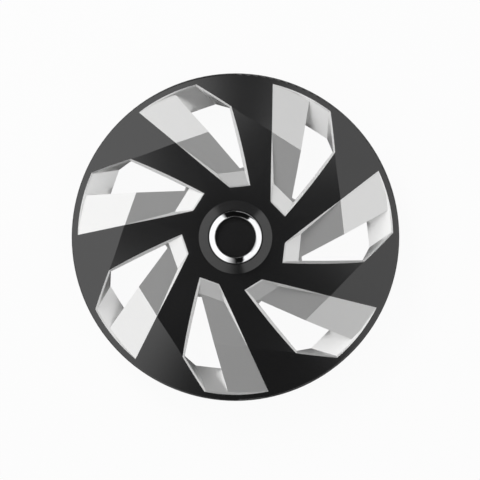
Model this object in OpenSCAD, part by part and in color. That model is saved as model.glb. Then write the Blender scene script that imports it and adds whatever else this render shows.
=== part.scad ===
// Wheel cover for a 15 inch car wheel: a moulded face with swept windows, a trim ring and
// a centre cap in the hub, and a spring wire behind that holds the cover in the wheel.
// The cover lies face up on the tips of its lugs. Millimetres.

/* [Face] */
// Outer radius of the cover
rim_r = 200; // [190:1:215]
// Fall of the conical outer face towards the rim, in degrees
face_slope = 16; // [12:0.5:18]
// Fall of the spoke faces from the hub to the creases, in degrees
spoke_slope = 5; // [4:0.5:6]
// Distance from the axis at which the middle of a spoke's face leaves the flat hub
hub_flat_r = 58.1452; // [56:0.0001:61]
// Distance of the straight creases from the axis
crease_d = 131.8; // [127:0.5:136]
// Thickness of the moulding's skin and walls
wall_t = 2.5; // [2:0.1:3]
// Radius of the rounded outer edge
edge_r = 3; // [1.5:0.5:4]
// Height of the rim's outer wall
flange_h = 9; // [7:0.5:12]

/* [Windows] */
// Number of windows, spokes and pairs of lugs
window_n = 7; // [7:1:7]
// Direction of the first window's crease, in degrees
first_turn = 160.5; // [0:0.5:360]
// Width of the plain band between the windows and the outer edge
rim_band = 7.7; // [6:0.1:10]
// Angle of the long edge of a window to its crease normal, in degrees
long_edge_a = 31.3; // [30:0.1:32.5]
// Where the long edge crosses the crease
long_edge_y = 31; // [28:0.5:34]
// Where the outer corner of the next side lies along the crease
kink_y = 89.7; // [87:0.5:92]
// Distance of the window's inner corner on the long edge from the axis, along the window
inner_x = 58.5; // [56:0.5:62]
// Inner corner on the far side, along the window
tip_x = 53.3; // [51:0.5:56]
// Inner corner on the far side, across the window
tip_y = -37.5; // [-39:0.5:-36]
// Width of the bevel round a window
bevel_w = 2; // [1:0.1:3]
// Lean of that bevel from the vertical, in degrees
bevel_lean = 52; // [40:1:60]
// Lean of the wall below the long edge, in degrees
long_wall_lean = 30; // [20:1:35]
// Lean of the other walls, in degrees
wall_lean = 5; // [2:1:8]
// Lean of the wall below the short outer edge, in degrees
short_wall_lean = 18; // [12:1:22]
// Lean of the wall on the far side of the opening, in degrees
far_wall_lean = 5; // [2:1:22]

/* [Blades] */
// Step from the black face down to the silver blade at the crease
blade_step = 0.4; // [0.2:0.1:1]
// Fall of the blade's outer facet, in degrees
blade_slope = 18; // [16:0.5:19]
// Where the blade's free edge crosses the crease
blade_edge_y = -10.9; // [-13:0.1:-8]
// Angle of the free edge to the crease normal, in degrees
blade_edge_a = 21.5; // [20.5:0.25:22.5]
// Lean of the wall below the free edge, in degrees
blade_wall_lean = 4; // [1:1:6]
// Inner end of the through opening, along the window
slot_x = 77.3; // [75:0.5:80]
// Length of the facet at the inner end of the blade
inner_facet_l = 17; // [15:0.5:19]
// Fall of the facet at the outer end of the opening, in degrees
end_slope = 22; // [18:0.5:24]
// Length of that facet along the window
end_facet_l = 30; // [26:0.5:33]
// Depth of the wall round the opening at its inner end
skirt_h = 5.5; // [4:0.5:8]
// Fall of the lower edge of that wall, in degrees
skirt_slope = 9; // [7:0.5:11]
// Fall of that wall's lower edge at its outer end, in degrees
skirt_end_slope = 60; // [50:1:65]

/* [Hub] */
// Radius of the boss at its foot
boss_r = 44.7; // [42:0.1:48]
// Height of the boss above the hub
boss_h = 8.5; // [6:0.5:10]
// Outer radius of the trim ring
ring_r = 31.9; // [30:0.1:34]
// Radius of the trim ring's opening
ring_in_r = 24.8; // [23:0.1:26]
// Depth of the round seat for the ring and the cap
seat_h = 3; // [2.5:0.1:4]
// Width of the flat land round the seat
land_w = 1.4; // [1:0.1:2]
// Fall of the trim ring's band, in degrees
ring_slope = 30; // [20:1:35]
// Radius of the trim ring's two edges
ring_edge = 0.5; // [0.3:0.1:0.8]
// Height of the cap's edge above its seat
cap_h = 3.6; // [3:0.1:4.5]
// Height of the cap's crown above that edge
cap_crown = 0.8; // [0.4:0.1:1.5]
// Radius of the hole for the cap's legs
leg_hole_r = 18; // [15:0.5:20]
// Clearance between pieces that fit together
fit_gap = 0.15; // [0.1:0.05:0.3]
// Number of snap legs on the ring and on the cap
snap_n = 4; // [3:1:6]
// Radius of the ring's snap legs, at their outer side
ring_leg_r = 29.5; // [28.5:0.1:30]
// Length of the snap legs below the seat
snap_l = 6.5; // [5:0.5:9]
// Width of a snap leg
snap_w = 7; // [5:0.5:9]
// Thickness of a snap leg
snap_t = 1.6; // [1.2:0.1:2]
// Reach of the hook on a snap leg
snap_hook = 0.8; // [0.5:0.1:1.2]

/* [Back] */
// Height of the lugs below the rim's outer wall
lug_h = 20; // [16:0.5:24]
// Distance of the lugs' outer side inside the outer edge
lug_inset = 13; // [11:0.5:15]
// Thickness of the lugs and of that ring wall
lug_t = 2.8; // [2.2:0.1:3.5]
// How far the ring wall stands out past a lug on each side
shoulder = 0.4; // [0.3:0.1:0.8]
// Width of one lug
lug_w = 16; // [12:1:20]
// Reach of the hook at a lug's tip
hook_l = 2.4; // [1.5:0.1:3]
// Height of the upright part of that hook
hook_h = 1; // [0.6:0.1:1.5]
// Angle between the two lugs of a pair, in degrees
pair_a = 16; // [15.5:0.5:18]
// Direction of a pair of lugs from a window's crease normal, in degrees
pair_turn_a = -23; // [-26:0.5:-20]
// Diameter of the spring wire
wire_d = 4; // [3.5:0.1:4.5]
// Height of the spring wire above the lug tips
wire_z = 10; // [8:0.5:12]
// Depth of the groove in which the wire lies
groove_h = 1.2; // [0.8:0.1:1.5]
// How far the bend for the tyre valve reaches inwards
valve_l = 24; // [18:1:30]
// Half the width of that bend
valve_w = 9; // [8:0.5:10]
// Radius of the bend's outer corners
valve_r = 7; // [6:0.5:9]
// Pair of lugs between which the bend lies
valve_pair = 2; // [0:1:6]
// Thickness of the stiffening ribs
rib_t = 1.8; // [1.4:0.1:2.4]
// Depth of the stiffening ribs below the skin
rib_h = 7; // [4:0.5:9]
// Radius of the round rib behind the hub
hub_rib_r = 52; // [49:0.5:54]
// Height of a spoke rib's outer end above the foot of the rim's wall
spoke_rib_up = 4; // [2:0.5:6]

/* [Hidden] */
$fn = 144;
step_a = 360 / window_n;
flange_z = lug_h;
rim_z = flange_z + flange_h;
crease_mid_z = rim_z + (rim_r - crease_d) * tan(face_slope);
hub_z = crease_mid_z + (crease_d - hub_flat_r) * tan(spoke_slope);
land_z = hub_z + boss_h;
seat_z = land_z - seat_h;
seat_r = ring_r + fit_gap;
land_r = seat_r + land_w;
skin_z = wall_t / cos(face_slope);
window_r = rim_r - rim_band;
// Outer radius of the lugs, and of the ring wall that carries them but for its shoulders
lug_r = rim_r - lug_inset;
wire_r = lug_r - lug_t - wire_d / 2 + groove_h - fit_gap;
// Reach of a cutting solid, and how far a cut or a root runs past a face
far = 300;
over = 1;
// Overlap of the wire's stretches and the difference in their diameters
eps = 0.05;
hair = 0.02;
// Facets of a full turn on a thin round and on a very shallow one
thin_fn = 32;
shallow_fn = 720;
face_black = "#1b1b1d";
chrome = "#e4e6e8";
steel = "#8d9094";

// A point turned about the axis
function turn(p, a) = [p[0] * cos(a) - p[1] * sin(a), p[0] * sin(a) + p[1] * cos(a)];
// Direction of a pair of lugs
function pair_turn(k) = first_turn + pair_turn_a + k * step_a;
function cone_z(r) = rim_z + (rim_r - r) * tan(face_slope);
function crease_z(y) = cone_z(norm([crease_d, y]));
function spoke_z(p) = min(hub_z, crease_z(p[1]) + (crease_d - p[0]) * tan(spoke_slope));
// How far along a line through p at angle a the circle of radius r lies, and the point there
function reach_l(p, a, r) =
    let (b = p * [cos(a), sin(a)])
    sqrt(b * b - p * p + r * r) - b;
function reach(p, a, r) = p + reach_l(p, a, r) * [cos(a), sin(a)];
// Centre of the circle through three points
function centre(a, b, c) =
    let (
        d = 2 * (a[0] * (b[1] - c[1]) + b[0] * (c[1] - a[1]) + c[0] * (a[1] - b[1])),
        aa = a * a,
        bb = b * b,
        cc = c * c
    )
    [
        (aa * (b[1] - c[1]) + bb * (c[1] - a[1]) + cc * (a[1] - b[1])) / d,
        (aa * (c[0] - b[0]) + bb * (a[0] - c[0]) + cc * (b[0] - a[0])) / d
    ];

// Corners of a window in its own frame: x outwards along the crease's normal
long_in = [inner_x, long_edge_y - (crease_d - inner_x) * tan(long_edge_a)];
long_mid = [crease_d, long_edge_y];
long_out = reach(long_mid, long_edge_a, window_r);
tip = [tip_x, tip_y];
kink = turn([crease_d, kink_y], -step_a);
short_out = reach(kink, 90 - step_a, window_r);

long_in_z = spoke_z(long_in);
long_mid_z = crease_z(long_edge_y);
tip_z = spoke_z(turn(tip, step_a));
kink_z = crease_z(kink_y);
arc_z = cone_z(window_r);
blade_z = long_mid_z - blade_step;
end_x = window_r - bevel_w - end_facet_l;
bevel_h = bevel_w / tan(bevel_lean);

// Crown of a spoke face: the round through three points of its crease, seen along its fall
function crown_point(y) = [crease_d * sin(spoke_slope) + crease_z(y) * cos(spoke_slope), y];
crown_y = kink_y + 2 * bevel_w;
crown_c = centre(crown_point(0), crown_point(crown_y / 2), crown_point(crown_y));
crown_r = norm(crown_c - crown_point(crown_y));

// Solid under the spoke face's crown
module crown() {
    rotate([0, spoke_slope - 90, 0])
        translate([crown_c[0], crown_c[1], -far])
        cylinder(r = crown_r, h = 2 * far, $fn = shallow_fn);
}

// What a spoke face takes off the cone. The crease is where the crown leaves the cone. The
// patch ends inside the windows on both sides.
module spoke_cut() {
    patch = [
        [0, 0],
        tip + [2 * bevel_w, bevel_w],
        [crease_d + 2 * bevel_w, (long_edge_y + blade_edge_y) / 2],
        [crease_d + 2 * bevel_w, crown_y],
        [crease_d, crown_y],
        turn(long_in + [2 * bevel_w, 0], step_a)
    ];
    difference() {
        translate([0, 0, rim_z])
            linear_extrude(height = far)
            polygon(patch);
        crown();
    }
}

// Everything below the face, to the given radius
module under_face(r, round_r) {
    edge_z = cone_z(r);
    difference() {
        rotate_extrude()
            union() {
                polygon([
                    [0, -far],
                    [r, -far],
                    [r, edge_z - round_r * tan(45 + face_slope / 2)],
                    [r - round_r, edge_z - round_r * tan(45 + face_slope / 2)],
                    [r - round_r + round_r * sin(face_slope),
                        cone_z(r - round_r + round_r * sin(face_slope))],
                    [rim_r - (hub_z - rim_z) / tan(face_slope), hub_z],
                    [0, hub_z]
                ]);
                translate([r - round_r, edge_z - round_r * tan(45 + face_slope / 2)])
                    circle(r = round_r);
            }
        for (k = [0 : window_n - 1])
            rotate(first_turn + k * step_a)
                spoke_cut();
    }
}

// Space inside one side of a window. The side runs from p to q at heights pz and qz and
// lies to the left. grow moves it outwards.
module side(p, q, pz, qz, lean, grow) {
    run = q - p;
    translate([p[0], p[1], pz])
        rotate([0, 0, atan2(run[1], run[0])])
        rotate([0, -atan2(qz - pz, norm(run)), 0])
        rotate([lean, 0, 0])
        translate([-far, -grow, -far])
        cube([2 * far, 2 * far, 2 * far]);
}

// A side with a bevel along its top and a wall below it
module bevelled_side(p, q, pz, qz, lean, grow) {
    run = q - p;
    inward = [-run[1], run[0]] / norm(run) * bevel_w;
    side(p, q, pz, qz, bevel_lean, grow);
    side(p + inward, q + inward, pz - bevel_h, qz - bevel_h, lean, grow);
}

// Space inside the arc along the rim
module arc_side(grow) {
    drop = far - arc_z;
    rotate_extrude()
        polygon([
            [0, -far],
            [window_r - bevel_w - tan(wall_lean) * (far + arc_z) + grow, -far],
            [window_r - bevel_w + grow, arc_z - bevel_h],
            [window_r + grow + tan(bevel_lean) * drop, far],
            [0, far]
        ]);
}

// The window as a funnel: its five sides, going down through everything
module funnel(grow) {
    intersection() {
        union() {
            intersection() {
                side(long_mid, long_in, long_mid_z, long_in_z, long_wall_lean, grow);
                translate([crease_d - 2 * far, -far, -far])
                    cube([2 * far, 2 * far, 2 * far]);
            }
            intersection() {
                side(long_out, long_mid, arc_z, long_mid_z, wall_lean, grow);
                translate([crease_d - eps, -far, -far])
                    cube([2 * far, 2 * far, 2 * far]);
            }
        }
        bevelled_side(long_in, tip, long_in_z, tip_z, wall_lean, grow);
        bevelled_side(tip, kink, tip_z, kink_z, far_wall_lean, grow);
        bevelled_side(kink, short_out, kink_z, arc_z, short_wall_lean, grow);
        arc_side(grow);
    }
}

// Half space below a plane that falls outwards from height z at distance x
module below(x, z, fall) {
    translate([x, 0, z])
        rotate([0, fall, 0])
        translate([-far, -far, -2 * far])
        cube([2 * far, 2 * far, 2 * far]);
}

// The side of the blade's free edge where the window is open. grow reaches under the blade.
module open_side(grow) {
    dir = [cos(180 + blade_edge_a), sin(180 + blade_edge_a)];
    p = [crease_d, blade_edge_y];
    intersection() {
        mirror([0, 1, 0])
            side([p[0], -p[1]], [p[0] - dir[0], -p[1] + dir[1]], blade_z, blade_z,
                -blade_wall_lean, grow);
        translate([slot_x - grow, -far, -far])
            cube([2 * far, 2 * far, 2 * far]);
    }
}

// Solid under the blade: a level inner facet, a falling outer one and the end facet
module under_blade() {
    intersection() {
        below(crease_d, blade_z, 0);
        below(crease_d, blade_z, blade_slope);
    }
    inner_end();
}

// Solid under the facet at the blade's inner end, which rises to the hub
module inner_end() {
    run = tip - long_in;
    top_z = (long_in_z + tip_z) / 2 - bevel_h;
    translate([long_in[0], long_in[1], top_z])
        rotate([0, 0, atan2(run[1], run[0]) + 90])
        translate([bevel_w, 0, 0])
        rotate([0, atan2(top_z - blade_z, inner_facet_l), 0])
        translate([-far, -far, -2 * far])
        cube([far + norm([inner_facet_l, top_z - blade_z]), 2 * far, 2 * far]);
}

// Solid under the facet at the opening's outer end, which falls inwards
module under_end(grow) {
    intersection() {
        below(window_r - bevel_w, arc_z - bevel_h - grow, -end_slope);
        translate([end_x, -far, -2 * far])
            cube([far, 2 * far, 3 * far]);
    }
}

// What is cut away in a window: the space over the blade and the opening beside it
module window_cut() {
    difference() {
        funnel(0);
        difference() {
            under_blade();
            open_side(0);
        }
        under_end(0);
    }
}

// Space below the lower edge of the wall round a window's opening
module under_skirt() {
    skirt_x = kink[0] - bevel_w;
    skirt_z = tip_z - skirt_h - (skirt_x - slot_x) * tan(skirt_slope);
    intersection() {
        below(skirt_x, skirt_z, skirt_slope);
        below(skirt_x, skirt_z, skirt_end_slope);
    }
}

// Walls and floors of a window, before the window itself is cut. They go down to the blade's
// underside, and beside the opening to the wall's lower edge where that is lower. None of them
// goes down to the spring wire.
module window_tub() {
    difference() {
        funnel(wall_t);
        difference() {
            translate([0, 0, -skin_z])
                under_blade();
            difference() {
                open_side(wall_t);
                under_skirt();
            }
        }
        intersection() {
            open_side(wall_t);
            under_end(wall_t / cos(end_slope));
        }
        below(0, wire_z + wire_d / 2, 0);
    }
}

// Upright tube between two radii
module tube(r, t, z, h) {
    translate([0, 0, z])
        difference() {
            cylinder(r = r, h = h);
            translate([0, 0, -over])
                cylinder(r = r - t, h = h + 2 * over);
        }
}

// Rib along the middle of a spoke, from the round rib to the ring wall of the lugs
module spoke_rib() {
    from = (long_in + turn(tip, step_a)) / 2;
    to = [crease_d, (long_edge_y + kink_y) / 2];
    run = to - from;
    rib_a = atan2(run[1], run[0]);
    in_l = reach_l(from, rib_a, hub_rib_r - rib_t / 2);
    out_l = reach_l(from, rib_a, lug_r - lug_t / 2);
    translate([from[0], from[1], 0])
        rotate([90, 0, rib_a])
        translate([0, 0, -rib_t / 2])
        linear_extrude(height = rib_t)
        polygon([
            [in_l, hub_z - skin_z - rib_h + over],
            [out_l, flange_z + spoke_rib_up],
            [out_l, hub_z],
            [in_l, hub_z]
        ]);
}

// Ribs behind the face: the ring wall of the lugs, a round rib and one rib for each spoke
module back_ribs() {
    tube(lug_r + shoulder, lug_t + 2 * shoulder, flange_z, hub_z - flange_z);
    tube(hub_rib_r, rib_t, hub_z - skin_z - rib_h, rib_h + over);
    for (k = [0 : window_n - 1])
        rotate(first_turn + k * step_a)
            spoke_rib();
}

// One lug with its hook and its groove for the wire. Its root stands inside the ring wall.
module lug() {
    in_r = lug_r - lug_t;
    turn_a = lug_w / lug_r * 180 / PI;
    difference() {
        rotate(-turn_a / 2)
            rotate_extrude(angle = turn_a)
            polygon([
                [in_r, 0],
                [lug_r, 0],
                [lug_r + hook_l, lug_t],
                [lug_r + hook_l, lug_t + hook_h],
                [lug_r, lug_t + hook_h + hook_l],
                [lug_r, flange_z + lug_t],
                [in_r, flange_z + lug_t],
                [in_r, wire_z + wire_d],
                [in_r - groove_h, wire_z + wire_d - groove_h],
                [in_r - groove_h, wire_z - wire_d + groove_h],
                [in_r, wire_z - wire_d]
            ]);
        translate([0, 0, wire_z])
            rotate_extrude()
            translate([wire_r, 0])
            circle(d = wire_d + 2 * fit_gap, $fn = thin_fn);
    }
}

// Skin of the face, with the rim's wall
module skin() {
    difference() {
        under_face(rim_r, edge_r);
        translate([0, 0, -skin_z])
            under_face(rim_r - wall_t, edge_r - wall_t / 2);
        translate([0, 0, flange_z - 2 * far])
            cylinder(r = rim_r + over, h = 2 * far);
    }
}

// The whole moulding: the face with its windows, the boss and the ribs, and the lugs behind
module cover() {
    color(face_black)
        union() {
            for (k = [0 : window_n - 1], s = [-1, 1])
                rotate(pair_turn(k) + s * pair_a / 2)
                    lug();
            difference() {
                union() {
                    skin();
                    intersection() {
                        translate([0, 0, -skin_z / 2])
                            under_face(rim_r - wall_t / 2, edge_r);
                        union() {
                            back_ribs();
                            for (k = [0 : window_n - 1])
                                rotate(first_turn + k * step_a)
                                    window_tub();
                        }
                    }
                    boss();
                }
                for (k = [0 : window_n - 1])
                    rotate(first_turn + k * step_a)
                        window_cut();
                boss_hollow();
                snap_slots();
            }
        }
}

// Raised boss in the hub, with the round seat in its top
module boss() {
    rotate_extrude()
        polygon([
            [leg_hole_r, seat_z - wall_t],
            [boss_r, hub_z - wall_t],
            [boss_r, hub_z],
            [land_r, land_z],
            [seat_r, land_z],
            [seat_r, seat_z],
            [leg_hole_r, seat_z]
        ]);
}

// Space behind the boss, open through the seat for the cap's legs
module boss_hollow() {
    rotate_extrude()
        polygon([
            [0, -far],
            [boss_r - wall_t, -far],
            [boss_r - wall_t, hub_z - wall_t],
            [seat_r, seat_z - wall_t],
            [leg_hole_r, seat_z - wall_t],
            [leg_hole_r, far],
            [0, far]
        ]);
}

// Snap legs on a circle, each with a hook that grips below the seat. r is their outer radius.
module snap_legs(r) {
    leg_a = snap_w / r * 180 / PI;
    hook_z = seat_z - wall_t - fit_gap;
    for (k = [0 : snap_n - 1])
        rotate(k * 360 / snap_n - leg_a / 2)
            rotate_extrude(angle = leg_a)
            polygon([
                [r - snap_t, seat_z - snap_l],
                [r - snap_t / 2, seat_z - snap_l],
                [r + snap_hook, hook_z - snap_hook],
                [r + snap_hook, hook_z],
                [r, hook_z],
                [r, seat_z + over],
                [r - snap_t, seat_z + over]
            ]);
}

// Slots in the seat for the legs of the trim ring, wide enough for their hooks
module snap_slots() {
    slot_a = (snap_w + 2 * fit_gap) / ring_leg_r * 180 / PI;
    for (k = [0 : snap_n - 1])
        rotate(k * 360 / snap_n - slot_a / 2)
            rotate_extrude(angle = slot_a)
            translate([ring_leg_r - snap_t - snap_hook - fit_gap, seat_z - wall_t - over])
            square([snap_t + snap_hook + 2 * fit_gap, wall_t + 2 * over]);
}

// Chromed ring: a band that falls outwards between two rounded edges
module trim_ring() {
    low = [ring_r - ring_edge, land_z + ring_edge];
    high = [ring_in_r + ring_edge, low[1] + (low[0] - ring_in_r - ring_edge) * tan(ring_slope)];
    out = ring_edge * [sin(ring_slope), cos(ring_slope)];
    color(chrome)
        union() {
            rotate_extrude()
                union() {
                    polygon([
                        [ring_in_r, seat_z],
                        [ring_r, seat_z],
                        [ring_r, low[1]],
                        low + out,
                        high + out,
                        [ring_in_r, high[1]]
                    ]);
                    translate(low)
                        circle(r = ring_edge, $fn = thin_fn);
                    translate(high)
                        circle(r = ring_edge, $fn = thin_fn);
                }
            snap_legs(ring_leg_r);
        }
}

// Plain cap inside the ring, with a low crown
module centre_cap() {
    r = ring_in_r - fit_gap;
    crown_r = (r * r + cap_crown * cap_crown) / (2 * cap_crown);
    color(face_black)
        union() {
            intersection() {
                translate([0, 0, seat_z])
                    cylinder(r = r, h = cap_h + cap_crown);
                translate([0, 0, seat_z + cap_h + cap_crown - crown_r])
                    sphere(r = crown_r, $fn = shallow_fn);
            }
            snap_legs(leg_hole_r - fit_gap);
        }
}

// Spring wire: a circle in the lugs' grooves, with a bend inwards for the tyre valve. Each
// stretch of the bend is a hair thinner than the one it runs into, and overlaps it.
module retaining_ring() {
    corner = [sqrt(pow(wire_r - valve_r, 2) - pow(valve_w + valve_r, 2)), valve_w + valve_r];
    open_a = atan2(corner[1], corner[0]);
    bend_x = wire_r - valve_l + valve_w;
    color(steel)
        translate([0, 0, wire_z])
        rotate(pair_turn(valve_pair))
        union() {
            rotate(open_a)
                wire_arc(wire_r, 360 - 2 * open_a, wire_d);
            for (s = [0, 1])
                mirror([0, s, 0]) {
                    translate(corner)
                        rotate(-90)
                        wire_arc(valve_r, 90 + open_a + eps / valve_r * 180 / PI, wire_d - hair);
                    translate([bend_x - eps, valve_w, 0])
                        rotate([0, 90, 0])
                        cylinder(
                            d = wire_d - 2 * hair,
                            h = corner[0] - bend_x + 2 * eps,
                            $fn = thin_fn
                        );
                }
            translate([bend_x, 0, 0])
                rotate(90)
                wire_arc(valve_w, 180, wire_d - hair);
        }
}

// Part of a wire ring of radius r, over an angle
module wire_arc(r, a, d) {
    rotate_extrude(angle = a)
        translate([r, 0])
        circle(d = d, $fn = thin_fn);
}

cover();
trim_ring();
centre_cap();
retaining_ring();
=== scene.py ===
"""Looks of a wheel cover with swept silver windows in a black face, on a pale studio floor."""

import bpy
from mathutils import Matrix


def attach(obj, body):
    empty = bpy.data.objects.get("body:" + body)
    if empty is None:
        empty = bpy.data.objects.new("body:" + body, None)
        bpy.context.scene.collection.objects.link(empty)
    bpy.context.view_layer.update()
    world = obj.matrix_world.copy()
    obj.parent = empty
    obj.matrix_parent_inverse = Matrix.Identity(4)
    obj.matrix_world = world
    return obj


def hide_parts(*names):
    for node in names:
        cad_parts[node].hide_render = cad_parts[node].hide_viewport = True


bl_info = {
    "name": "Hubcap",
    "version": (1, 0, 0),
    "blender": (4, 5, 0),
    "location": "3D View > Sidebar > Hubcap",
    "description": "Paint, chrome and studio for a wheel cover",
    "category": "Object",
}

import math

import bmesh
import bpy
from bpy.props import FloatProperty, FloatVectorProperty, IntProperty, PointerProperty
from bpy.types import Operator, Panel, PropertyGroup
from mathutils import Matrix, Vector
from mathutils.bvhtree import BVHTree

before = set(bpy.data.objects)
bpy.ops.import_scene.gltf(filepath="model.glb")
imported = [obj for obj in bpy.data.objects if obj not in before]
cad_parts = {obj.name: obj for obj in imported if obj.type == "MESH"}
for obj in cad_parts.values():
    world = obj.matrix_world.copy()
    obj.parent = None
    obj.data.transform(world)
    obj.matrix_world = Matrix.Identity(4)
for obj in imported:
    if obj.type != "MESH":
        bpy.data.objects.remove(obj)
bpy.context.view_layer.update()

# Corners nearer than this, in metres, are one corner
SAME_PLACE = 0.000002
# Cosine between a spray ray and a face's normal below which no paint stays
GRAZING = 0.05
# How far before a face, in metres, the way to the spray gun is traced from
BEFORE_FACE = 0.00002
# A painted face whose normal rises less than this is a bevel
STEEP = 0.9
# Places of the cover's materials
BLACK, SILVER, BARE = range(3)


class HubcapWindows(PropertyGroup):
    """Outline of one window, seen from the front. x runs outwards along its crease's normal."""

    count: IntProperty(
        name="Windows", description="Number of windows", default=7, min=3, subtype="UNSIGNED")
    first_turn: FloatProperty(
        name="First window", description="Direction of the first window's crease normal",
        default=math.radians(160.5), subtype="ANGLE")
    arc_r: FloatProperty(
        name="Outer arc", description="Radius of the windows' outer edge",
        default=0.1923, unit="LENGTH")
    long_out: FloatVectorProperty(
        name="Outer end of the long edge", description="Where the long edge meets the arc",
        size=2, default=(0.18216, 0.06162), unit="LENGTH")
    long_mid: FloatVectorProperty(
        name="Long edge at the crease", description="Where the long edge crosses the crease",
        size=2, default=(0.1318, 0.0310), unit="LENGTH")
    long_in: FloatVectorProperty(
        name="Inner end of the long edge", description="Corner nearest the hub, on the long edge",
        size=2, default=(0.0585, -0.01357), unit="LENGTH")
    tip: FloatVectorProperty(
        name="Inner corner", description="Corner nearest the hub, on the far side",
        size=2, default=(0.0533, -0.0375), unit="LENGTH")
    kink: FloatVectorProperty(
        name="Outer corner", description="Corner where the far side turns to the rim",
        size=2, default=(0.15231, -0.04712), unit="LENGTH")
    short_out: FloatVectorProperty(
        name="Outer end of the short edge", description="Where the short edge meets the arc",
        size=2, default=(0.19165, -0.01575), unit="LENGTH")
    bevel_reach: FloatProperty(
        name="Reach on bevels", description="How far outside the outline a bevel is still silver",
        default=0.0025, min=0, unit="LENGTH")
    rim_round: FloatProperty(
        name="Rim round", description="Radius outside which all edges are shaded as round",
        default=0.19785, unit="LENGTH")


class HubcapFinish(PropertyGroup):
    """Colours and gloss of the finishes"""

    black: FloatVectorProperty(
        name="Black paint", description="Colour of the face", subtype="COLOR",
        size=3, default=(0.0122, 0.0122, 0.0125), min=0, max=1)
    silver: FloatVectorProperty(
        name="Silver paint", description="Colour of the windows", subtype="COLOR",
        size=3, default=(0.90, 0.90, 0.895), min=0, max=1)
    chrome: FloatVectorProperty(
        name="Chrome", description="Colour of the trim ring", subtype="COLOR",
        size=3, default=(0.93, 0.93, 0.94), min=0, max=1)
    moulding: FloatVectorProperty(
        name="Bare moulding", description="Colour of the unpainted back", subtype="COLOR",
        size=3, default=(0.018, 0.018, 0.019), min=0, max=1)
    wire: FloatVectorProperty(
        name="Spring wire", description="Colour of the retaining ring", subtype="COLOR",
        size=3, default=(0.46, 0.47, 0.49), min=0, max=1)
    black_gloss: FloatProperty(
        name="Roughness of the black", description="Blur of the face's lacquer",
        default=0.2, min=0, max=1, subtype="FACTOR")
    silver_gloss: FloatProperty(
        name="Roughness of the silver", description="Blur of the windows' lacquer",
        default=0.32, min=0, max=1, subtype="FACTOR")


class HubcapStudio(PropertyGroup):
    """Camera, lamp and the two soft walls of light"""

    view_width: FloatProperty(
        name="Width of view", description="Width that the camera sees at the rim",
        default=0.5857, unit="LENGTH")
    camera_height: FloatProperty(
        name="Camera height", description="Height of the camera above the rim",
        default=6.0, unit="LENGTH")
    rim_height: FloatProperty(
        name="Rim height", description="Height of the rim above the floor",
        default=0.028, unit="LENGTH")
    camera_side: FloatVectorProperty(
        name="Camera offset", description="Place of the camera beside the axis",
        size=2, default=(0.0055, -0.0035), unit="LENGTH")
    left_level: FloatProperty(
        name="Left light", description="Radiance of the left wall",
        default=1.08, subtype="UNSIGNED")
    right_level: FloatProperty(
        name="Right light", description="Radiance of the right wall",
        default=0.78, subtype="UNSIGNED")
    dim_level: FloatProperty(
        name="Dim parts", description="Radiance between the walls",
        default=0.004, subtype="UNSIGNED")
    lamp_size: FloatProperty(
        name="Lamp width", description="Diameter of the lamp", default=1.6, unit="LENGTH")
    lamp_power: FloatProperty(
        name="Lamp power", description="Power of the lamp", default=125, unit="POWER")
    lamp_place: FloatVectorProperty(
        name="Lamp place", description="Where the lamp hangs",
        size=3, default=(-1.6, 2.6, 1.5), subtype="TRANSLATION", unit="LENGTH")


class Value:
    """A number in a node tree. Sums and products of values add their Math nodes."""

    def __init__(self, tree, socket):
        self.tree = tree
        self.socket = socket

    def math(self, operation, *others):
        """The outcome of a Math node"""
        node = self.tree.node("ShaderNodeMath", {"operation": operation}, (self, *others))
        return Value(self.tree, node.outputs[0])

    def __add__(self, other):
        return self.math("ADD", other)

    __radd__ = __add__

    def __mul__(self, other):
        return self.math("MULTIPLY", other)

    __rmul__ = __mul__

    def __sub__(self, other):
        return self.math("SUBTRACT", other)

    def __rsub__(self, other):
        return self * -1 + other

    def smooth(self, low, high):
        """0 below low and 1 above high, with a soft change between them"""
        node = self.tree.node(
            "ShaderNodeMapRange", {"interpolation_type": "SMOOTHSTEP"},
            {"Value": self, "From Min": low, "From Max": high})
        return Value(self.tree, node.outputs[0])


class Tree:
    """The nodes of a finish or of the world"""

    def __init__(self, owner):
        owner.use_nodes = True
        self.tree = owner.node_tree
        self.tree.nodes.clear()

    def node(self, kind, settings=None, sockets=()):
        """Adds a node. Each of its sockets gets a link or a plain value."""
        node = self.tree.nodes.new(kind)
        for name, setting in (settings or {}).items():
            setattr(node, name, setting)
        pairs = sockets.items() if isinstance(sockets, dict) else enumerate(sockets)
        for key, value in pairs:
            target = node.inputs[key]
            if isinstance(value, Value):
                value = value.socket
            if isinstance(value, bpy.types.NodeSocket):
                self.tree.links.new(value, target)
            elif target.type == "RGBA" and len(value) == 3:
                target.default_value = (*value, 1)
            else:
                target.default_value = value
        return node

    def value(self, kind, settings=None, sockets=(), output=0):
        """Adds a node and takes one of its outputs as a number"""
        return Value(self, self.node(kind, settings, sockets).outputs[output])

    def place(self):
        """The object's own coordinates, in metres"""
        return self.node("ShaderNodeTexCoord").outputs["Object"]

    def noise(self, size, detail=2.0):
        """Noise whose patches are about size metres across"""
        return self.value(
            "ShaderNodeTexNoise", None,
            {"Vector": self.place(), "Scale": 1 / size, "Detail": detail}, "Fac")

    def bump(self, height, depth):
        """A normal bent by a height between 0 and 1, of a depth in metres"""
        return self.node(
            "ShaderNodeBump", None, {"Height": height, "Distance": depth}).outputs["Normal"]

    def tint(self, amount, dark, light):
        """A colour between a dark and a light one"""
        return self.node(
            "ShaderNodeMix", {"data_type": "RGBA"},
            {"Factor": amount, 6: dark, 7: light}).outputs[2]

    def surface(self, **sockets):
        """The Principled shader with the sockets that are given"""
        names = {key.replace("_", " "): value for key, value in sockets.items()}
        shader = self.node("ShaderNodeBsdfPrincipled", None, names)
        self.node("ShaderNodeOutputMaterial", None, {"Surface": shader.outputs[0]})


def scaled(colour, factor):
    """A colour made darker or lighter"""
    return tuple(part * factor for part in colour)


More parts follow.
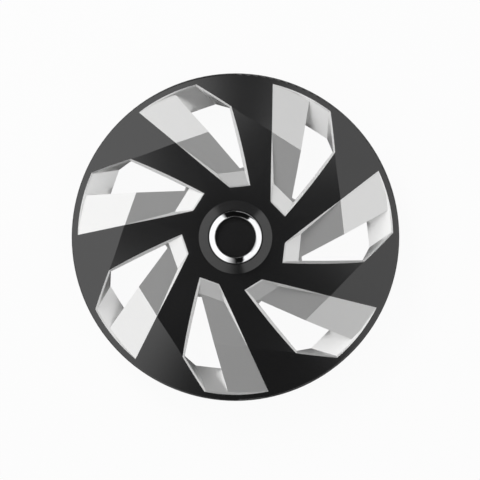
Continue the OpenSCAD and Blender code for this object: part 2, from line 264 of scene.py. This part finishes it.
def finish(name):
    """A new material with its empty tree"""
    material = bpy.data.materials.new(name)
    return material, Tree(material)


def black_paint():
    """Smooth black lacquer with a faint waviness"""
    look = bpy.context.scene.hubcap_finish
    material, tree = finish("black_paint")
    waves = tree.noise(0.004, 1.0)
    haze = tree.noise(0.05)
    tree.surface(
        Base_Color=tree.tint(haze, scaled(look.black, 0.94), scaled(look.black, 1.06)),
        Roughness=haze * 0.03 + (look.black_gloss - 0.015),
        IOR=1.8,
        Normal=tree.bump(waves, 0.000002))
    return material


def silver_paint():
    """Metallic lacquer: fine flakes that vary in brightness and in lie"""
    look = bpy.context.scene.hubcap_finish
    material, tree = finish("silver_paint")
    flakes = tree.noise(0.0006, 1.0)
    cloud = tree.noise(0.03)
    tree.surface(
        Base_Color=tree.tint(flakes, scaled(look.silver, 0.96), scaled(look.silver, 1.03)),
        Metallic=0.8,
        Roughness=cloud * 0.02 + flakes * 0.03 + (look.silver_gloss - 0.025),
        Normal=tree.bump(flakes, 0.000004))
    return material


def bare_moulding():
    """Unpainted plastic with the fine grain of its mould"""
    look = bpy.context.scene.hubcap_finish
    material, tree = finish("bare_moulding")
    grain = tree.noise(0.0009)
    flow = tree.noise(0.04)
    tree.surface(
        Base_Color=tree.tint(flow, scaled(look.moulding, 0.85), scaled(look.moulding, 1.15)),
        Roughness=grain * 0.12 + 0.42,
        Normal=tree.bump(grain, 0.00003))
    return material


def chrome_plating():
    """Bright plating with a trace of waviness from the plastic below it"""
    look = bpy.context.scene.hubcap_finish
    material, tree = finish("chrome_plating")
    waves = tree.noise(0.003, 1.0)
    tree.surface(
        Base_Color=tree.tint(waves, scaled(look.chrome, 0.97), look.chrome),
        Metallic=1.0,
        Roughness=waves * 0.02 + 0.05)
    return material


def cap_plastic():
    """Polished black plastic with a faint haze"""
    look = bpy.context.scene.hubcap_finish
    material, tree = finish("cap_plastic")
    haze = tree.noise(0.012)
    tree.surface(
        Base_Color=tree.tint(haze, scaled(look.black, 0.92), scaled(look.black, 1.05)),
        Roughness=haze * 0.04 + 0.2,
        IOR=1.6)
    return material


def drawn_wire():
    """Zinc-plated spring wire"""
    look = bpy.context.scene.hubcap_finish
    material, tree = finish("drawn_wire")
    specks = tree.noise(0.0015)
    cloud = tree.noise(0.02)
    tree.surface(
        Base_Color=tree.tint(cloud, scaled(look.wire, 0.85), scaled(look.wire, 1.1)),
        Metallic=1.0,
        Roughness=specks * 0.15 + 0.26,
        Normal=tree.bump(specks, 0.00001))
    return material


def window_outline():
    """Corners of one window in its own frame, with its arc"""
    sizes = bpy.context.scene.hubcap_windows
    start = math.atan2(sizes.short_out[1], sizes.short_out[0])
    end = math.atan2(sizes.long_out[1], sizes.long_out[0])
    steps = 12
    arc = [
        Vector((math.cos(angle), math.sin(angle))) * sizes.arc_r
        for angle in (start + (end - start) * i / steps for i in range(steps + 1))
    ]
    corners = [Vector(p) for p in (sizes.long_mid, sizes.long_in, sizes.tip, sizes.kink)]
    return arc + corners


def inside(point, outline):
    """Whether a point lies in an outline"""
    hit = False
    for a, b in zip(outline, outline[1:] + outline[:1]):
        if (a.y > point.y) != (b.y > point.y):
            if point.x < a.x + (point.y - a.y) / (b.y - a.y) * (b.x - a.x):
                hit = not hit
    return hit


def in_a_window(point, outline):
    """Whether a point lies in one of the windows, seen from the front"""
    sizes = bpy.context.scene.hubcap_windows
    for k in range(sizes.count):
        turn = Matrix.Rotation(-sizes.first_turn - k * 2 * math.pi / sizes.count, 2)
        if inside(turn @ point.xy, outline):
            return True
    return False


def spray_rays():
    """Directions from which paint is sprayed: straight from the front and from around it"""
    rays = [Vector((0, 0, 1))]
    for tilt in (0.35, 0.8):
        for i in range(8):
            around = Matrix.Rotation(i * math.pi / 4, 3, "Z")
            rays.append(around @ Vector((math.sin(tilt), 0, math.cos(tilt))))
    return rays


def merged_copy(node, name, sharp_angle, round_from=None):
    """A copy of a CAD node with its triangles joined and its edges sharp where they are"""
    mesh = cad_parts[node].data.copy()
    mesh.name = name
    mesh.materials.clear()
    # the node's own normals would hide the sharp edges
    if "custom_normal" in mesh.attributes:
        mesh.attributes.remove(mesh.attributes["custom_normal"])
    copy = bpy.data.objects.new(name, mesh)
    bpy.context.scene.collection.objects.link(copy)
    shape = bmesh.new()
    shape.from_mesh(mesh)
    bmesh.ops.remove_doubles(shape, verts=shape.verts, dist=SAME_PLACE)
    for face in shape.faces:
        face.smooth = True
        face.material_index = BLACK
    for edge in shape.edges:
        on_round = round_from is not None and min(v.co.xy.length for v in edge.verts) > round_from
        edge.smooth = on_round or edge.calc_face_angle(math.pi) < sharp_angle
    shape.to_mesh(mesh)
    shape.free()
    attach(copy, "root")
    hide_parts(node)
    return copy


class HUBCAP_OT_stage(Operator):
    """Makes the floor, the light, the lamp and the camera"""

    bl_idname = "hubcap.stage"
    bl_label = "Studio"

    def execute(self, context):
        studio = context.scene.hubcap_studio
        self.floor()
        self.light(context.scene, studio)
        self.lamp(context.scene, studio)
        self.camera(context.scene, studio)
        return {"FINISHED"}

    def floor(self):
        """A wide floor whose edge curves up into a low wall"""
        shape = bmesh.new()
        start = shape.verts.new((0, 0, 0))
        profile = [(6.0, 0), (6.6, 0.06), (6.9, 0.3), (7.0, 0.7), (7.0, 1.6)]
        ring = [start] + [shape.verts.new((x, 0, z)) for x, z in profile]
        edges = [shape.edges.new(pair) for pair in zip(ring, ring[1:])]
        bmesh.ops.spin(
            shape, geom=ring + edges, cent=(0, 0, 0), axis=(0, 0, 1), angle=2 * math.pi,
            steps=64, use_merge=True)
        bmesh.ops.remove_doubles(shape, verts=shape.verts, dist=0.0001)
        bmesh.ops.recalc_face_normals(shape, faces=shape.faces)
        if sum(face.normal.z for face in shape.faces) < 0:
            bmesh.ops.reverse_faces(shape, faces=shape.faces)
        mesh = bpy.data.meshes.new("studio_floor")
        shape.to_mesh(mesh)
        shape.free()
        floor = bpy.data.objects.new("studio_floor", mesh)
        bpy.context.scene.collection.objects.link(floor)
        material, tree = finish("pale_floor")
        path = tree.node("ShaderNodeLightPath")
        seen = Value(tree, path.outputs["Is Camera Ray"])
        matt = tree.node("ShaderNodeBsdfDiffuse", None, {"Color": (0.5, 0.5, 0.5)})
        white = tree.node("ShaderNodeEmission", None, {"Color": (1, 1, 1), "Strength": 1.0})
        mix = tree.node(
            "ShaderNodeMixShader", None, (seen * 0.95, matt.outputs[0], white.outputs[0]))
        tree.node("ShaderNodeOutputMaterial", None, {"Surface": mix.outputs[0]})
        mesh.materials.append(material)

    def light(self, scene, studio):
        """Two soft walls of light left and right, with dim gaps above, below and overhead"""
        world = bpy.data.worlds.new("soft_walls")
        tree = Tree(world)
        direction = tree.node("ShaderNodeTexCoord").outputs["Generated"]
        parts = tree.node("ShaderNodeSeparateXYZ", None, (direction,))
        x, y = (Value(tree, parts.outputs[i]) for i in (0, 1))
        # 1 on the horizon and 0 overhead
        level = (x * x + y * y).math("SQRT")

        def past(turn, low, change, softness):
            """1 past a wall's end, whose angle is low on the horizon and changes overhead"""
            end = math.radians(low) + (1 - level) * math.radians(change)
            return (turn - end).smooth(-softness, softness)

        def wall(side, top, bottom):
            """A wall on the side -1 or 1, between its top and its bottom end"""
            turn = y.math("ARCTAN2", x * side)
            return past(turn, *bottom) - past(turn, *top)

        fading_low = 1 - level.smooth(0.9, 1) * 0.5
        bright_band = 1 + (level.smooth(0.74, 0.84) - level.smooth(0.9, 0.97)) * 0.35
        left = wall(-1, top=(52, 68, 0.1), bottom=(-85, 58, 0.28)) * fading_low
        right = wall(1, top=(44, 68, 0.05), bottom=(-80, 80, 0.05)) * bright_band
        dark_overhead = level.smooth(0.22, 0.56)
        walls = left * studio.left_level + right * studio.right_level
        light = walls * dark_overhead + studio.dim_level
        shader = tree.node("ShaderNodeBackground", None, {"Strength": light})
        shader.inputs["Color"].default_value = (1, 1, 1, 1)
        tree.node("ShaderNodeOutputWorld", None, {"Surface": shader.outputs[0]})
        scene.world = world

    def lamp(self, scene, studio):
        """A broad lamp above the top edge, which fills matt surfaces and casts the soft shadow"""
        data = bpy.data.lights.new("soft_lamp", "AREA")
        data.shape = "DISK"
        data.size = studio.lamp_size
        data.energy = studio.lamp_power
        lamp = bpy.data.objects.new("soft_lamp", data)
        lamp.location = studio.lamp_place
        lamp.rotation_euler = (-Vector(lamp.location)).to_track_quat("-Z", "Y").to_euler()
        lamp.visible_glossy = False
        lamp.visible_camera = False
        scene.collection.objects.link(lamp)

    def camera(self, scene, studio):
        """A long lens straight above the face"""
        data = bpy.data.cameras.new("front_camera")
        data.sensor_width = 36
        data.lens = 36 * studio.camera_height / studio.view_width
        data.clip_end = 100
        camera = bpy.data.objects.new("front_camera", data)
        camera.location = (*studio.camera_side, studio.camera_height + studio.rim_height)
        scene.collection.objects.link(camera)
        scene.camera = camera


class HUBCAP_OT_cover(Operator):
    """Paints the moulding: black face, silver windows, bare back"""

    bl_idname = "hubcap.cover"
    bl_label = "Cover"

    def execute(self, context):
        sizes = context.scene.hubcap_windows
        cover = merged_copy("cover", "painted_cover", math.radians(8), sizes.rim_round)
        mesh = cover.data
        for make in (black_paint, silver_paint, bare_moulding):
            mesh.materials.append(make())
        shape = bmesh.new()
        shape.from_mesh(mesh)
        hull = BVHTree.FromBMesh(shape)
        outline = window_outline()
        rays = spray_rays()
        for face in shape.faces:
            middle = face.calc_center_median()
            start = middle + face.normal * BEFORE_FACE
            open_rays = (
                ray for ray in rays
                if ray.dot(face.normal) > GRAZING and hull.ray_cast(start, ray)[0] is None)
            if next(open_rays, None) is None:
                face.material_index = BARE
                continue
            # a steep face is a bevel, whose normal leans over the window it falls into
            reach = sizes.bevel_reach if face.normal.z < STEEP else 0
            if in_a_window(middle + face.normal * reach, outline):
                face.material_index = SILVER
        shape.to_mesh(mesh)
        shape.free()
        if {polygon.material_index for polygon in mesh.polygons} != {BLACK, SILVER, BARE}:
            raise RuntimeError("a finish of the cover got no faces")
        return {"FINISHED"}


class HUBCAP_OT_trim_ring(Operator):
    """Plates the trim ring"""

    bl_idname = "hubcap.trim_ring"
    bl_label = "Trim ring"

    def execute(self, context):
        ring = merged_copy("trim_ring", "chromed_ring", math.radians(34))
        ring.data.materials.append(chrome_plating())
        return {"FINISHED"}


class HUBCAP_OT_centre_cap(Operator):
    """Finishes the centre cap"""

    bl_idname = "hubcap.centre_cap"
    bl_label = "Centre cap"

    def execute(self, context):
        cap = merged_copy("centre_cap", "black_cap", math.radians(20))
        cap.data.materials.append(cap_plastic())
        return {"FINISHED"}


class HUBCAP_OT_retaining_ring(Operator):
    """Finishes the spring wire"""

    bl_idname = "hubcap.retaining_ring"
    bl_label = "Retaining ring"

    def execute(self, context):
        wire = merged_copy("retaining_ring", "spring_wire", math.radians(60))
        wire.data.materials.append(drawn_wire())
        return {"FINISHED"}


PIECES = (HUBCAP_OT_cover, HUBCAP_OT_trim_ring, HUBCAP_OT_centre_cap, HUBCAP_OT_retaining_ring)


class HUBCAP_PT_sidebar(Panel):
    """Lists the pieces, their sizes and their finishes"""

    bl_label = "Hubcap"
    bl_space_type = "VIEW_3D"
    bl_region_type = "UI"
    bl_category = "Hubcap"

    def draw(self, context):
        for operator in (HUBCAP_OT_stage, *PIECES):
            self.layout.operator(operator.bl_idname)
        for group in GROUPS:
            settings = getattr(context.scene, GROUPS[group])
            for name in group.__annotations__:
                self.layout.prop(settings, name)


GROUPS = {
    HubcapWindows: "hubcap_windows",
    HubcapFinish: "hubcap_finish",
    HubcapStudio: "hubcap_studio",
}


def register():
    for group, name in GROUPS.items():
        bpy.utils.register_class(group)
        setattr(bpy.types.Scene, name, PointerProperty(type=group))
    for part in (HUBCAP_OT_stage, *PIECES, HUBCAP_PT_sidebar):
        bpy.utils.register_class(part)


def unregister():
    for part in (HUBCAP_PT_sidebar, *reversed(PIECES), HUBCAP_OT_stage):
        bpy.utils.unregister_class(part)
    for group, name in reversed(GROUPS.items()):
        delattr(bpy.types.Scene, name)
        bpy.utils.unregister_class(group)


def main():
    register()
    bpy.context.scene.view_settings.view_transform = "Standard"
    bpy.ops.hubcap.stage()
    bpy.ops.hubcap.cover()
    bpy.ops.hubcap.trim_ring()
    bpy.ops.hubcap.centre_cap()
    bpy.ops.hubcap.retaining_ring()


if __name__ == "__main__":
    main()
